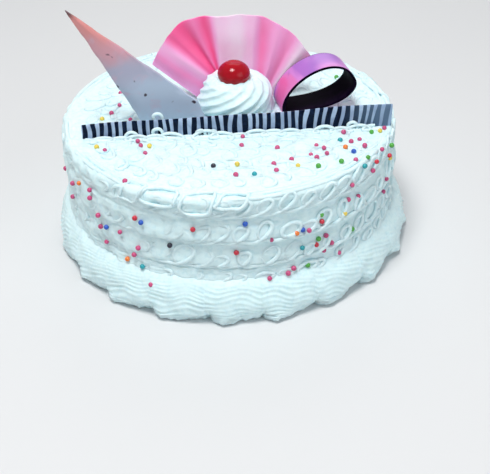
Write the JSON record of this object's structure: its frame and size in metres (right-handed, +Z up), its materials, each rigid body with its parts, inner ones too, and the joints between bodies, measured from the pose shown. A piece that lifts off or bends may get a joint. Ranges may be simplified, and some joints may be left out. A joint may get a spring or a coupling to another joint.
{
  "type": "cream cake",
  "caption": "Round piped cream cake with a shell border, a cherry on a rosette, sprinkles and chocolate decorations: a pleated fan, a shard, a curl and a striped strip.",
  "frame": {"origin": "middle of the cake's flat underside", "axes": "+Z up through the cake, -Y towards the side in front of the striped strip, +X to the right seen from there"},
  "size_m": [0.2266, 0.2251, 0.1487],
  "materials": {
    "whipped_cream": "soft satin whipped cream",
    "glazed_cherry": "wet glossy glaze",
    "pink_chocolate": "satin pleated chocolate, pale and deep pink",
    "marbled_chocolate": "satin marbled chocolate, pink to lilac grey",
    "magenta_marbled_chocolate": "satin marbled chocolate, magenta and lilac outside and dark inside",
    "striped_chocolate": "satin dark and pale blue-grey stripes"
  },
  "bodies": {
    "root": {"cake_body": "whipped_cream", "shell_border": "whipped_cream", "cream_rosette": "whipped_cream", "cherry": "glazed_cherry", "pink_fan": "pink_chocolate", "marbled_shard": "marbled_chocolate", "curl_band": "magenta_marbled_chocolate", "striped_strip": "striped_chocolate"}
  },
  "joints": []
}
